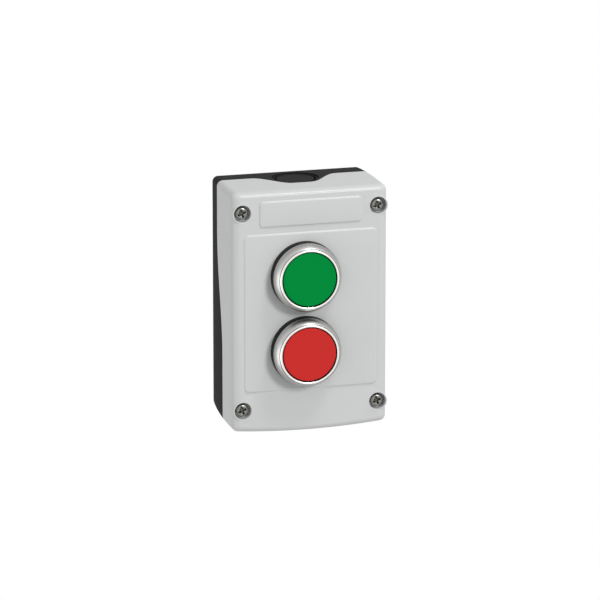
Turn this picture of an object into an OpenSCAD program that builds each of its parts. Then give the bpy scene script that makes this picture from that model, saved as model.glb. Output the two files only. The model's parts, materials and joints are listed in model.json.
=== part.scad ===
// Two-button control station: a wall box with a green and a red flush pushbutton.
// Millimetres. X is across the box, Z is up, the wall is the plane Y = 0 and the front looks along -Y.
// Most shapes are drawn in the wall's frame: x across, y up, z out from the wall.

/* [Enclosure] */
// Width of the box at its front edge
front_w = 62.5; // [60:0.1:68]
// How far each side wall curves in from there to the wall
side_draft = 1; // [0.5:0.05:2]
// Height of the top face above the screws' centre, at the front edge
top_front = 47.6; // [46:0.1:50]
// How far the top face curves in from there to the wall
top_draft = 0.6; // [0.1:0.1:1]
// Depth of the bottom face below the screws' centre, at the front corners
bottom_front = 48.3; // [46:0.1:50]
// How far the bottom face curves in from there to the wall
bottom_draft = 2.1; // [1:0.1:3]
// How far the bottom edge bows out at its middle
bottom_bow = 1.3; // [0.5:0.1:2.5]
// Depth of the box from the wall to the front face
box_depth = 35; // [34:0.1:40]
// Corner radius of the box at the wall
corner_back = 2.2; // [2:0.1:4]
// Corner radius of the box at its front edge
corner_front = 2.6; // [2.4:0.1:6]
// Depth and width of the rounding along the front's side edges
front_round = 3.5; // [2.5:0.1:4]
// Width of that rounding along the top edge
round_top = 2; // [1.5:0.1:3]
// Width of that rounding along the bottom edge
round_bottom = 2.5; // [1.5:0.1:3]
// Thickness of the side walls
wall_t = 2.4; // [2:0.1:3]
// Thickness of the base's back
floor_t = 2.5; // [2:0.1:3.5]
// Thickness of the cover's front
panel_t = 2.5; // [2:0.1:3]

/* [Joint between base and cover] */
// Height of the base's edge at its upper part
edge_high = 9.8; // [8:0.1:12]
// Height of the base's edge at its lower part
edge_low = 18; // [15:0.1:20]
// Upper end of the S in the side edges
edge_wave_top = 27; // [20:0.5:30]
// Lower end of the S in the side edges
edge_wave_bottom = -21; // [-25:0.5:-10]
// Height of the tongue in the top edge
tongue_h = 22.2; // [20:0.1:24]
// Half width of the tongue's flat end
tongue_flat = 3.5; // [2:0.5:6]
// Half width of the tongue at its foot
tongue_foot = 17.3; // [14:0.1:20]
// Width of the gasket in the joint
seal_w = 1; // [0.8:0.1:1.2]
// Thickness of the gasket in the joint
seal_t = 1; // [0.6:0.1:1.4]

/* [Raised areas] */
// Height of the raised areas on the front
raise = 0.5; // [0.3:0.1:0.8]
// Margin beside the plate area
plate_side = 4.45; // [4:0.05:7]
// Margin above the plate area
plate_above = 16.6; // [15.5:0.1:17]
// Margin below the plate area
plate_below = 16.1; // [15:0.1:17]
// Corner radius of the plate area
plate_r = 2; // [1:0.1:3]
// Margin beside the label area
label_side = 10.65; // [10:0.05:14]
// Margin above the label area
label_above = 3.6; // [3:0.1:4]
// Height of the label area
label_h = 10.4; // [8:0.1:11]
// Corner radius of the label area
label_r = 1.5; // [1:0.1:3]

/* [Cover screws] */
// Distance of the screws from the sides of the front
screw_side = 3.95; // [3.9:0.05:4.8]
// Distance of the upper screws from the top of the front
screw_above = 8.1; // [7.5:0.1:8.5]
// Distance of the lower screws from the bottom of the front's corners
screw_below = 8.8; // [8.6:0.1:9.1]
// Diameter of the wells in which the screw heads lie
screw_well_d = 6.8; // [5.8:0.1:6.8]
// Wall of the bosses round the wells
screw_rim = 0.5; // [0.4:0.05:0.8]
// Diameter of the screw heads
screw_head_d = 5; // [4.8:0.1:5.4]
// Height of the screw heads
screw_head_h = 1.8; // [1.4:0.1:2.2]
// Diameter of the screw shanks
screw_d = 3; // [2.6:0.1:4]
// Length of the shank that sits in the insert
screw_grip = 5; // [4:0.5:6]
// Depth of the wells
screw_sink = 3.1; // [2.8:0.1:3.6]
// Diameter of the screw columns in the corners
column_d = 8.4; // [8:0.1:9]
// Diameter of the threaded inserts
insert_d = 4.4; // [4:0.1:5.8]
// Length of the threaded inserts
insert_l = 6; // [5:0.5:6.5]

/* [Wall and cable] */
// Diameter of the holes for the wall screws
wall_hole_d = 4.5; // [4:0.1:5.5]
// Distance between the wall screws across the box
wall_span_x = 36; // [34:0.5:38]
// Distance between the wall screws up the box
wall_span_y = 70; // [68:0.5:72]
// Diameter of the thickened ring round each wall hole
wall_ring_d = 9; // [8:0.5:10]
// Height of the thickened ring round each wall hole
wall_ring_h = 1.2; // [0.5:0.1:2]
// Diameter of the cable knockout in the top
knockout_d = 16.5; // [16:0.1:17]
// Diameter of the cable knockout in the bottom
knockout_low_d = 12; // [11:0.1:12.5]
// Width of the ledge round each knockout
knockout_ledge = 1; // [0.5:0.1:1.2]
// Depth of the ledge round each knockout
knockout_step = 0.5; // [0.3:0.1:0.8]
// Width of the thin break line of each knockout
knockout_line = 0.8; // [0.5:0.1:1]
// Margin between the top knockout's ledge and the end of the tongue
knockout_margin = 0.35; // [0.2:0.05:0.6]
// Distance of the bottom knockout's centre from the wall
knockout_low_z = 9; // [8.5:0.1:9.5]

/* [Heads] */
// Space between the two collars
head_space = 2.6; // [2:0.1:3]
// Height of the middle between the heads, from the screws' centre
head_middle = -1.3; // [-2:0.1:0]
// Sideways place of the heads
head_x = -2.6; // [-3:0.1:1]
// Diameter of the barrel that passes the panel
barrel_d = 22; // [21.8:0.1:22.1]
// Radial clearance of the barrel in the panel hole
panel_gap = 0.15; // [0.1:0.05:0.3]
// Length of the barrel behind the panel
barrel_l = 8; // [7.5:0.1:8.5]
// How far the black collar stands out past the barrel
collar_over = 2.7; // [2.5:0.1:3.6]
// Height of the black collar above the plate area
collar_h = 3.4; // [3:0.1:4]
// How far the metal bezel's foot stays inside the collar's edge
bezel_step = 0.1; // [0:0.05:0.4]
// Height of the metal bezel
bezel_h = 4.5; // [4:0.1:5]
// Width of the bezel's polished rim
rim_w = 1; // [0.8:0.1:1.2]
// Diameter of the caps
cap_d = 21.3; // [21:0.1:22]
// Thickness of the caps
cap_t = 2.4; // [2:0.1:2.8]
// How far the cap lies below the bezel's rim
cap_recess = 0.3; // [0.1:0.1:0.8]
// Travel of the buttons
travel = 3.5; // [3:0.1:3.6]
// Thickness of the flat gasket under the collar
head_seal_t = 0.8; // [0.5:0.1:1]
// How far the lock nuts stand out past the barrel
nut_over = 3.3; // [2.8:0.1:3.6]
// Thickness of the lock nuts
nut_t = 3; // [2.5:0.1:4]
// Diameter of the plunger's stem
stem_d = 8; // [7:0.1:8.4]
// Wire diameter of the return springs
spring_wire = 0.9; // [0.7:0.1:1]
// Mean diameter of the return springs
spring_d = 14.2; // [13.8:0.1:14.6]
// Turns of the return springs
spring_turns = 5.5; // [4:0.5:7]

/* [Contact blocks] */
// Space round the head of a terminal screw, along the housing
pocket_play = 0.45; // [0.2:0.05:1]
// Width of the contact housings, up the box
block_w = 18; // [16:0.5:20]
// Wall of the contact housings
block_wall = 1.5; // [1.2:0.1:1.8]
// Space between a housing's front and the plunger pressed in
block_gap = 1; // [0.5:0.1:1.5]
// Space between the lower strips and a housing's floor
strip_lift = 1.2; // [1:0.1:1.5]
// Thickness of the mounting rail
rail_t = 1.2; // [1:0.1:1.5]
// Width of the mounting rail
rail_w = 14; // [12:0.5:16]
// Height of the carrier's block
carrier_h = 5; // [4.5:0.1:5.5]
// Length of the carrier's block, along the bridge
carrier_l = 9; // [8:0.1:9.4]
// Width of the carrier's block
carrier_w = 7; // [6.5:0.1:8]
// Diameter of the carrier's stem
carrier_stem_d = 6; // [5:0.1:6.5]
// Length of the contact bridges
bridge_l = 17; // [16:0.1:17.4]
// Width of the contact bridges
bridge_w = 4; // [3.5:0.1:4.5]
// Thickness of the contact metal
metal_t = 0.7; // [0.6:0.1:0.8]
// Diameter of the contact tips
tip_d = 2.6; // [2:0.1:3]
// Thickness of the contact tips
tip_t = 0.6; // [0.4:0.1:0.7]
// Gap between the tips when they are closed
tip_gap = 0.3; // [0.2:0.1:0.4]
// Diameter of the terminal screws' heads
terminal_head_d = 5.6; // [5:0.1:6]
// Diameter of the terminal screws' shanks
terminal_d = 3.2; // [3:0.1:3.5]

/* [Fits] */
// Radial clearance of parts that run in each other
run_fit = 0.05; // [0.02:0.01:0.1]
// Clearance round parts that move freely
free_gap = 0.3; // [0.2:0.05:0.4]
// Clearance round parts that are put together and stay
seat_gap = 0.1; // [0.05:0.01:0.15]

/* [Hidden] */

// Colours
cover_grey = [0.79, 0.8, 0.81];
base_black = [0.13, 0.13, 0.14];
rubber_black = [0.08, 0.08, 0.08];
steel_grey = [0.72, 0.72, 0.74];
bezel_metal = [0.82, 0.82, 0.8];
brass = [0.78, 0.64, 0.34];
copper = [0.8, 0.5, 0.35];
start_green = [0, 0.5, 0.22];
stop_red = [0.76, 0.12, 0.13];
housing_grey = [0.35, 0.36, 0.38];
carrier_white = [0.88, 0.88, 0.86];

// Roundness of true circles, steps in the corners and along the bowed edge, slices of the box's hull
$fn = 96;
corner_steps = 6;
bow_steps = 10;
side_slices = 4;
round_slices = 4;
corner_min = 0.8;
slice_t = 0.01;

// A length beyond every piece, and how far cuts run past a face or joined shapes into each other
far = 120;
past = 1;

// Sizes of the box at the wall, and of the raised areas
back_w = front_w - 2 * side_draft;
top_back = top_front - top_draft;
bottom_back = bottom_front - bottom_draft;
plate_w = front_w - 2 * plate_side;
plate_top = top_front - plate_above;
plate_bottom = plate_below - bottom_front;
label_w = front_w - 2 * label_side;
label_top = top_front - label_above;
label_bottom = label_top - label_h;

// Diameters round the barrel, and the heads' pitch
panel_hole_d = barrel_d + 2 * panel_gap;
collar_d = barrel_d + 2 * collar_over;
bezel_d = collar_d - 2 * bezel_step;
nut_d = barrel_d + 2 * nut_over;
head_pitch = collar_d + head_space;
knockout_z = tongue_h - knockout_margin - knockout_ledge - knockout_d / 2;

// Heights from the wall, along the head's axis
panel_back = box_depth - panel_t;
plate_z = box_depth + raise;
collar_top = plate_z + collar_h;
rim_z = collar_top + bezel_h;
cap_face = rim_z - cap_recess;
cap_under = cap_face - cap_t;
well_floor = cap_under - travel - free_gap;
plunger_disc_t = 1.8;
plunger_disc_z = cap_under - plunger_disc_t;
barrel_end = panel_back - barrel_l;
shelf_t = 1.5;
shelf_top = barrel_end + shelf_t;

// Radii of the head
cap_bore_r = cap_d / 2 + free_gap;
barrel_wall = 2.4;
barrel_bore_r = barrel_d / 2 - barrel_wall;
stem_bore_r = stem_d / 2 + run_fit;
key_w = 2.8;
key_h = 1;
head_seal_edge = 0.5;
head_seal_out = collar_d / 2 - head_seal_edge;
head_seal_in = barrel_d / 2 + key_h + 2 * seat_gap;

// Heights of the contact blocks
block_base = floor_t + rail_t;
chamber_floor = block_base + block_wall;
bridge_z = chamber_floor + strip_lift + metal_t + 2 * tip_t + tip_gap + travel;
bridge_lift = 1.2;
carrier_base = bridge_z - bridge_lift;
carrier_top = carrier_base + carrier_h;
carrier_play = 0.6;
chamber_top = carrier_top + carrier_play;
block_top = chamber_top + block_wall;
plunger_tip = block_top + block_gap + travel;
bridge_play = 0.8;
carrier_side_play = 1.3;
chamber_l = bridge_l + 2 * bridge_play;
chamber_w = carrier_w + 2 * carrier_side_play;
tip_edge = 0.3;
tip_x = bridge_l / 2 - tip_d / 2 - tip_edge;

// Springs of the contact blocks
contact_spring_d = 5;
contact_spring_wire = 0.5;
contact_spring_turns = 4;

// Places of the terminals, and the length of the blocks from the middle outwards
pocket_wall = 1.4;
partition_t = 2.8;
pocket_in = chamber_l / 2 + partition_t;
pocket_out = pocket_in + terminal_head_d + 2 * pocket_play;
block_l = 2 * (pocket_out + pocket_wall);
terminal_x = (pocket_in + pocket_out) / 2;
pocket_w = 8.4;
strip_w = 5;
strip_gap = 0.8;
strip_in = carrier_l / 2 + strip_gap;
riser_in = 1;
riser_x = chamber_l / 2 + riser_in;
terminal_lift = 6;
terminal_z = block_base + terminal_lift;
clamp_t = 1;
clamp_lift = 1.8;
clamp_w = 5.6;
clamp_gap = 0.5;

// Places of the screws
screw_x = front_w / 2 - screw_side;
screw_y = [top_front - screw_above, screw_below - bottom_front];
screw_seat = box_depth - screw_sink;
column_r = column_d / 2;
screw_hole_r = screw_d / 2 + free_gap;
o_ring_t = 0.5;
seal_inset = (wall_t - seal_w) / 2;
seal_round = 1;

head_y = [head_middle + head_pitch / 2, head_middle - head_pitch / 2];

// Smooth step from 0 to 1 along half a cosine wave
function ease(t) = (1 - cos(180 * min(1, max(0, t)))) / 2;

// Height of the base's edge on the side walls, at height y
function edge_at(y) =
    edge_high + (edge_low - edge_high) * ease((edge_wave_top - y) / (edge_wave_top - edge_wave_bottom));

// Height of the base's edge on the top wall, at place x across
function tongue_at(x) =
    tongue_h - (tongue_h - edge_high) * ease((abs(x) - tongue_flat) / (tongue_foot - tongue_flat));

// Quarter of a circle round the point c, from angle a
function quarter(c, r, a, steps) =
    [for (i = [0:steps]) c + r * [cos(a + 90 * i / steps), sin(a + 90 * i / steps)]];

// Rounded rectangle from -w/2 to w/2 and bottom to top, its lower edge bowed out by a parabola
function rounded(w, top, bottom, r, bow) =
    concat(quarter([w / 2 - r, top - r], r, 0, corner_steps),
           quarter([r - w / 2, top - r], r, 90, corner_steps),
           quarter([r - w / 2, bottom + r], r, 180, corner_steps),
           [for (i = [1:bow_steps - 1])
                let (t = 2 * i / bow_steps - 1)
                [(w / 2 - r) * t, bottom - bow * (1 - t * t)]],
           quarter([w / 2 - r, bottom + r], r, 270, corner_steps));

// Share of the way from the wall to the front edge
function share(z) = min(1, max(0, z) / (box_depth - front_round));

// Share of the walls' swelling reached at height z: fast near the wall and flat towards the front
function swell(z) = 1 - pow(1 - share(z), 3);

// The box at height z: its width, its top above the screws' centre and its bottom below it
function width_at(z) = back_w + (front_w - back_w) * swell(z);
function top_at(z) = top_back + (top_front - top_back) * swell(z);
function bottom_at(z) = bottom_back + (bottom_front - bottom_back) * swell(z);

// Outline of the box at height z, drawn in by inset all round and by draw at the sides' front rounding
function box_outline(z, inset, draw) =
    rounded(width_at(z) - 2 * (inset + draw), top_at(z) - inset - draw * round_top / front_round,
            inset + draw * round_bottom / front_round - bottom_at(z),
            max(corner_min, corner_back + (corner_front - corner_back) * share(z) - inset
                            - draw * round_top / front_round),
            bottom_bow * swell(z));

// Stand a shape drawn in the wall's frame upright
module upright() {
    rotate([90, 0, 0]) children();
}

// Solid form of the box from z0 to z1, drawn in by inset, its front edge rounded by r
module box_form(inset, z0, z1, r) {
    hull() {
        for (i = [0:side_slices]) {
            let (z = z0 + (z1 - r - z0) * i / side_slices)
                translate([0, 0, z]) linear_extrude(slice_t) polygon(box_outline(z, inset, 0));
        }
        for (i = [1:round_slices]) {
            let (a = 90 * i / round_slices)
                translate([0, 0, z1 - r + r * sin(a) - slice_t]) linear_extrude(slice_t)
                    polygon(box_outline(z1, inset, r * (1 - cos(a))));
        }
    }
}

// Everything on the base's side of the joint, raised by lift
module joint_zone(lift) {
    steps = 40;
    top_y = top_back - wall_t - past;
    rotate([90, 0, 90]) linear_extrude(far, center = true)
        polygon(concat([[-far, -past], [-far, edge_low + lift]],
                       [for (i = [0:steps])
                            let (y = edge_wave_bottom + (edge_wave_top - edge_wave_bottom) * i / steps)
                            [y, edge_at(y) + lift]],
                       [[far, edge_high + lift], [far, -past]]));
    translate([0, top_y + far / 2, 0]) rotate([90, 0, 0]) linear_extrude(far, center = true)
        polygon(concat([[-tongue_foot, -past]],
                       [for (i = [0:steps])
                            let (x = tongue_foot * (2 * i / steps - 1))
                            [x, tongue_at(x) + lift]],
                       [[tongue_foot, -past]]));
}

// The four corners where the cover screws sit
module at_screws() {
    for (x = [-screw_x, screw_x], y = screw_y) {
        translate([x, y, 0]) children();
    }
}

// The walls of base and cover in one, with the screw columns
module box_walls() {
    difference() {
        box_form(0, 0, box_depth, front_round);
        difference() {
            box_form(wall_t, floor_t, panel_back, front_round / 2);
            at_screws() cylinder(h = box_depth, r = column_r);
        }
    }
}

// Height of the base's edge at a cover screw
function screw_joint(y) = y > 0 ? edge_high : edge_low;

// Depth of a threaded insert's pocket below the joint
insert_pocket = insert_l + past;

// Sunk ledge and thin break line of a knockout of diameter d, cut along y from the outside at y = 0
module knockout_cut(d) {
    web_t = 0.6;
    rotate([90, 0, 0]) {
        cylinder(h = 2 * knockout_step, r = d / 2 + knockout_ledge, center = true);
        difference() {
            cylinder(h = 2 * (wall_t - web_t), r = d / 2, center = true);
            cylinder(h = 2 * wall_t, r = d / 2 - knockout_line, center = true);
        }
    }
}

// Slopes of the top and bottom faces at their knockouts, and the bottom's depth at the middle there
top_slope = atan((top_at(knockout_z + 1) - top_at(knockout_z - 1)) / 2);
bottom_slope = atan((bottom_at(knockout_low_z + 1) - bottom_at(knockout_low_z - 1)) / 2);
bottom_at_knockout = bottom_at(knockout_low_z) + bottom_bow * swell(knockout_low_z);

// Rail's places along the box
rail_over = 1.5;
rail_low = head_y[1] - block_w / 2 - rail_over;
rail_high = head_y[0] + block_w / 2 + rail_over;
tab_l = 7;
tab_lift = 3;
rail_hole_y = [rail_low - tab_l / 2 - rail_t, rail_high + tab_l / 2 + rail_t];
rail_boss_r = 3.5;
rail_screw_r = 1.4;
rail_head_d = 5;
rail_head_h = 1.5;
rail_hole_floor = 1.2;

module base_shell() {
    color(base_black) upright() difference() {
        union() {
            intersection() {
                box_walls();
                joint_zone(0);
            }
            for (x = [-1, 1], y = [-1, 1]) {
                translate([x * wall_span_x / 2, y * wall_span_y / 2, floor_t - past])
                    cylinder(h = past + wall_ring_h, r = wall_ring_d / 2);
            }
            for (y = rail_hole_y) {
                translate([head_x, y, floor_t - past]) cylinder(h = past + tab_lift, r = rail_boss_r);
            }
        }
        for (x = [-1, 1], y = [-1, 1]) {
            translate([x * wall_span_x / 2, y * wall_span_y / 2, -past])
                cylinder(h = floor_t + wall_ring_h + 2 * past, r = wall_hole_d / 2);
        }
        for (x = [-screw_x, screw_x], y = screw_y) {
            translate([x, y, screw_joint(y) - insert_pocket])
                cylinder(h = far, r = insert_d / 2 + seat_gap);
        }
        for (y = rail_hole_y) {
            translate([head_x, y, rail_hole_floor]) cylinder(h = far, r = rail_screw_r + seat_gap);
        }
        translate([0, top_at(knockout_z), knockout_z]) rotate([-top_slope, 0, 0]) knockout_cut(knockout_d);
        translate([0, -bottom_at_knockout, knockout_low_z]) rotate([bottom_slope, 0, 0])
            knockout_cut(knockout_low_d);
    }
}

// Raised area with bevelled edges, on the front face
module raised_area(w, top, bottom, r) {
    hull() {
        translate([0, 0, box_depth - raise]) linear_extrude(raise)
            polygon(rounded(w, top, bottom, r, 0));
        translate([0, 0, plate_z - slice_t]) linear_extrude(slice_t)
            polygon(rounded(w - 2 * raise, top - raise, bottom + raise, r - raise / 2, 0));
    }
}

// Body of the gasket that runs along the joint and round each screw, and the groove it fills
module seal_ring() {
    difference() {
        intersection() {
            box_form(seal_inset, 0, panel_back, seal_round);
            joint_zone(seal_t);
        }
        difference() {
            box_form(seal_inset + seal_w, -past, box_depth, seal_round);
            at_screws() cylinder(h = far, r = insert_d / 2 + seal_w);
        }
        joint_zone(0);
        at_screws() cylinder(h = far, r = insert_d / 2 + seat_gap);
    }
}

module cover_shell() {
    color(cover_grey) upright() difference() {
        union() {
            difference() {
                box_walls();
                joint_zone(0);
            }
            at_screws() translate([0, 0, screw_seat])
                cylinder(h = screw_sink, r = screw_well_d / 2 + screw_rim);
            raised_area(plate_w, plate_top, plate_bottom, plate_r);
            raised_area(label_w, label_top, label_bottom, label_r);
        }
        seal_ring();
        at_screws() {
            cylinder(h = far, r = screw_hole_r);
            translate([0, 0, screw_seat]) cylinder(h = far, r = screw_well_d / 2);
        }
        for (y = head_y) {
            translate([head_x, y, panel_back - past]) {
                cylinder(h = far, r = panel_hole_d / 2);
                translate([-key_w / 2 - seat_gap, 0, 0])
                    cube([key_w + 2 * seat_gap, panel_hole_d / 2 + key_h + seat_gap, far]);
            }
        }
    }
}

module cover_gasket() {
    color(rubber_black) upright() seal_ring();
}

// Pan head with a cross recess, its underside at z = 0
module pan_head(d, h) {
    crown_h = 0.4 * h;
    crown_w = 1.4 * crown_h;
    slot_l = 0.56 * d;
    slot_w = 0.14 * d;
    slot_floor = 0.45 * h;
    difference() {
        rotate_extrude() polygon(concat([[0, 0], [d / 2, 0]],
                                        [for (a = [0:15:90])
                                             [d / 2 - crown_w * (1 - cos(a)), h - crown_h * (1 - sin(a))]],
                                        [[0, h]]));
        for (a = [20, 110]) {
            rotate(a) translate([-slot_l / 2, -slot_w / 2, slot_floor]) cube([slot_l, slot_w, h]);
        }
    }
}

module cover_screws() {
    color(steel_grey) upright() for (x = [-screw_x, screw_x], y = screw_y) {
        translate([x, y, 0]) {
            translate([0, 0, screw_seat + o_ring_t]) pan_head(screw_head_d, screw_head_h);
            translate([0, 0, screw_joint(y) - screw_grip])
                cylinder(h = screw_seat + o_ring_t - screw_joint(y) + screw_grip, r = screw_d / 2);
        }
    }
}

module threaded_inserts() {
    color(brass) upright() for (x = [-screw_x, screw_x], y = screw_y) {
        translate([x, y, screw_joint(y) - insert_l]) difference() {
            cylinder(h = insert_l, r = insert_d / 2);
            translate([0, 0, -past]) cylinder(h = insert_l + 2 * past, r = screw_d / 2 + run_fit);
        }
    }
}

module screw_seals() {
    color(rubber_black) upright() at_screws() translate([0, 0, screw_seat]) difference() {
        cylinder(h = o_ring_t, r = screw_head_d / 2);
        translate([0, 0, -past]) cylinder(h = o_ring_t + 2 * past, r = screw_d / 2 + seat_gap);
    }
}

// Strip of sheet steel, stepped up at both ends onto the base's two bosses
module mounting_rail() {
    t = rail_t;
    z = floor_t;
    tab_z = floor_t + tab_lift;
    low = rail_low;
    high = rail_high;
    color(steel_grey) upright() difference() {
        translate([head_x, 0, 0]) rotate([90, 0, 90]) linear_extrude(rail_w, center = true)
            polygon([[low, z], [high, z], [high, tab_z], [high + tab_l, tab_z], [high + tab_l, tab_z + t],
                     [high - t, tab_z + t], [high - t, z + t], [low + t, z + t], [low + t, tab_z + t],
                     [low - tab_l, tab_z + t], [low - tab_l, tab_z], [low, tab_z]]);
        for (y = rail_hole_y) {
            translate([head_x, y, 0]) cylinder(h = far, r = rail_screw_r + seat_gap);
        }
    }
}

module rail_screws() {
    color(steel_grey) upright() for (y = rail_hole_y) {
        translate([head_x, y, floor_t + tab_lift + rail_t]) {
            pan_head(rail_head_d, rail_head_h);
            translate([0, 0, -rail_t - tab_lift]) cylinder(h = rail_t + tab_lift, r = rail_screw_r);
        }
    }
}

// Place of one head: 0 is the start button, 1 is the stop button
module at_head(i) {
    upright() translate([head_x, head_y[i], 0]) children();
}

// Flush cap: a disc with a softened edge and a slightly hollow face
module cap(i, paint) {
    edge = 0.4;
    dish = 0.15;
    color(paint) at_head(i) translate([0, 0, cap_under]) rotate_extrude()
        polygon(concat([[0, 0], [cap_d / 2 - edge, 0], [cap_d / 2, edge]],
                       [for (a = [0:22.5:90])
                            [cap_d / 2 - edge * (1 - cos(a)), cap_t - edge * (1 - sin(a))]],
                       [for (s = [0.9, 0.6, 0.3, 0]) [s * cap_d / 2, cap_t - dish * (1 - s * s)]]));
}

// Turned metal ring: straight foot, swelling shoulder, a fine groove and a rounded rim
module bezel(i) {
    foot = 1;
    groove = 0.25;
    chamfer = 0.2;
    rim_r = cap_bore_r + rim_w;
    shoulder_r = rim_r + chamfer;
    shoulder_z = bezel_h - rim_w / 2;
    color(bezel_metal) at_head(i) translate([0, 0, collar_top]) rotate_extrude()
        polygon(concat([[cap_bore_r, 0], [bezel_d / 2 - chamfer, 0], [bezel_d / 2, chamfer]],
                       [for (t = [0:0.2:1])
                            [bezel_d / 2 - (bezel_d / 2 - shoulder_r) * (t + 1 - cos(90 * t)) / 2,
                             foot + (shoulder_z - foot) * (t + sin(90 * t)) / 2]],
                       [[rim_r, shoulder_z - groove]],
                       [for (a = [0:15:180])
                            [cap_bore_r + rim_w / 2 * (1 + cos(a)), bezel_h - rim_w / 2 * (1 - sin(a))]]));
}

// Collar and barrel in one, with the cap's well, the spring's bore and the stem's guide
module head_body(i) {
    r = barrel_d / 2;
    cr = collar_d / 2;
    chamfer = 0.5;
    seal_top = plate_z + head_seal_t;
    color(base_black) at_head(i) {
        rotate_extrude()
            polygon([[stem_bore_r, barrel_end], [r - chamfer, barrel_end], [r, barrel_end + chamfer],
                     [r, plate_z], [head_seal_in, plate_z], [head_seal_in, seal_top],
                     [head_seal_out, seal_top], [head_seal_out, plate_z], [cr, plate_z],
                     [cr, collar_top - chamfer], [cr - chamfer, collar_top], [cap_bore_r, collar_top],
                     [cap_bore_r, well_floor], [barrel_bore_r, well_floor],
                     [barrel_bore_r, shelf_top], [stem_bore_r, shelf_top]]);
        translate([-key_w / 2, r - past, panel_back]) cube([key_w, key_h + past, plate_z - panel_back]);
    }
}

module panel_gasket(i) {
    color(rubber_black) at_head(i) translate([0, 0, plate_z]) difference() {
        cylinder(h = head_seal_t, r = head_seal_out - seat_gap);
        translate([0, 0, -past]) cylinder(h = head_seal_t + 2 * past, r = head_seal_in + seat_gap);
    }
}

// Ring nut with six notches for a spanner
module lock_nut(i) {
    notch = 1.6;
    color(housing_grey) at_head(i) translate([0, 0, panel_back - nut_t]) difference() {
        cylinder(h = nut_t, r = nut_d / 2);
        translate([0, 0, -past]) cylinder(h = nut_t + 2 * past, r = barrel_d / 2 + seat_gap);
        for (a = [30:60:330]) {
            rotate(a) translate([nut_d / 2 - notch, -notch, -past])
                cube([2 * notch, 2 * notch, nut_t + 2 * past]);
        }
    }
}

// Disc under the cap, on a stem that reaches the contact carrier
module plunger(i) {
    color(carrier_white) at_head(i) {
        translate([0, 0, plunger_disc_z]) cylinder(h = plunger_disc_t, r = barrel_bore_r - free_gap);
        translate([0, 0, plunger_tip]) cylinder(h = plunger_disc_z - plunger_tip, r = stem_d / 2);
    }
}

// Points of one ring of the wire, at angle a along the coil
function wire_ring(mean_r, wire_r, a, z, sides) =
    [for (k = [0:sides - 1])
         let (b = 360 * k / sides, r = mean_r + wire_r * cos(b))
         [r * cos(a), r * sin(a), z + wire_r * sin(b)]];

// Round wire wound into a coil between z0 and z1
module coil(mean_d, wire_d, turns, z0, z1) {
    per_turn = 16;
    sides = 6;
    rings = round(turns * per_turn);
    lift = z1 - z0 - wire_d;
    points = [for (i = [0:rings])
                  each wire_ring(mean_d / 2, wire_d / 2, 360 * i / per_turn,
                                 z0 + wire_d / 2 + lift * i / rings, sides)];
    skin = [for (i = [0:rings - 1], k = [0:sides - 1])
                let (a = i * sides + k, b = i * sides + (k + 1) % sides)
                [a, b, b + sides, a + sides]];
    ends = [[for (k = [sides - 1:-1:0]) k], [for (k = [0:sides - 1]) rings * sides + k]];
    polyhedron(points, concat(skin, ends), convexity = 6);
}

module return_spring(i) {
    color(steel_grey) at_head(i)
        coil(spring_d, spring_wire, spring_turns, shelf_top + seat_gap, plunger_disc_z - seat_gap);
}

// Rubber ring round the stem, on the barrel's shelf
module stem_seal(i) {
    seal_h = 1.2;
    color(rubber_black) at_head(i) translate([0, 0, shelf_top]) difference() {
        cylinder(h = seal_h, r = spring_d / 2 - spring_wire / 2 - free_gap);
        translate([0, 0, -past]) cylinder(h = seal_h + 2 * past, r = stem_d / 2 + free_gap);
    }
}

// Housing of a contact block: a middle chamber, a terminal pocket at each end, and lips that hold the rail
module contact_housing(i) {
    lip = 1.5;
    slot_w = strip_w + 2 * seat_gap;
    color(housing_grey) at_head(i) difference() {
        union() {
            translate([-block_l / 2, -block_w / 2, block_base])
                cube([block_l, block_w, block_top - block_base]);
            for (s = [-1, 1]) {
                translate([s * (rail_w / 2 + seat_gap + lip / 2) - lip / 2, -block_w / 2, floor_t])
                    cube([lip, block_w, block_base - floor_t + past]);
            }
        }
        translate([-chamber_l / 2, -chamber_w / 2, chamber_floor])
            cube([chamber_l, chamber_w, chamber_top - chamber_floor]);
        translate([0, 0, chamber_floor]) cylinder(h = far, r = carrier_stem_d / 2 + run_fit);
        for (s = [-1, 1]) {
            translate([s * terminal_x - (pocket_out - pocket_in) / 2, -pocket_w / 2, chamber_floor])
                cube([pocket_out - pocket_in, pocket_w, far]);
            translate([s * (pocket_in + chamber_l / 2) / 2 - pocket_in / 2, -slot_w / 2, chamber_floor])
                cube([pocket_in, slot_w, chamber_top - chamber_floor]);
            translate([s * block_l / 2 - 2 * pocket_wall, -strip_w / 2, terminal_z + metal_t])
                cube([4 * pocket_wall, strip_w, far]);
        }
    }
}

// Slider that holds the bridge in a window and is pushed by the plunger
module contact_carrier(i) {
    color(carrier_white) at_head(i) difference() {
        union() {
            translate([-carrier_l / 2, -carrier_w / 2, carrier_base])
                cube([carrier_l, carrier_w, carrier_h]);
            translate([0, 0, carrier_top - past])
                cylinder(h = plunger_tip - carrier_top + past, r = carrier_stem_d / 2);
        }
        translate([-carrier_l, -bridge_w / 2 - seat_gap, bridge_z])
            cube([2 * carrier_l, bridge_w + 2 * seat_gap, metal_t + 2 * seat_gap]);
    }
}

// Bridge with a tip at each end. side is -1 with the tips towards the wall and 1 with them outwards.
module contact_bridge(i, side) {
    color(copper) at_head(i) {
        translate([-bridge_l / 2, -bridge_w / 2, bridge_z]) cube([bridge_l, bridge_w, metal_t]);
        for (s = [-1, 1]) {
            translate([s * tip_x, 0, side < 0 ? bridge_z - tip_t : bridge_z]) {
                cylinder(h = tip_t + metal_t, r = tip_d / 2);
            }
        }
    }
}

module contact_spring(i) {
    color(steel_grey) at_head(i)
        coil(contact_spring_d, contact_spring_wire, contact_spring_turns, chamber_floor + seat_gap,
             carrier_base - seat_gap);
}

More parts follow.
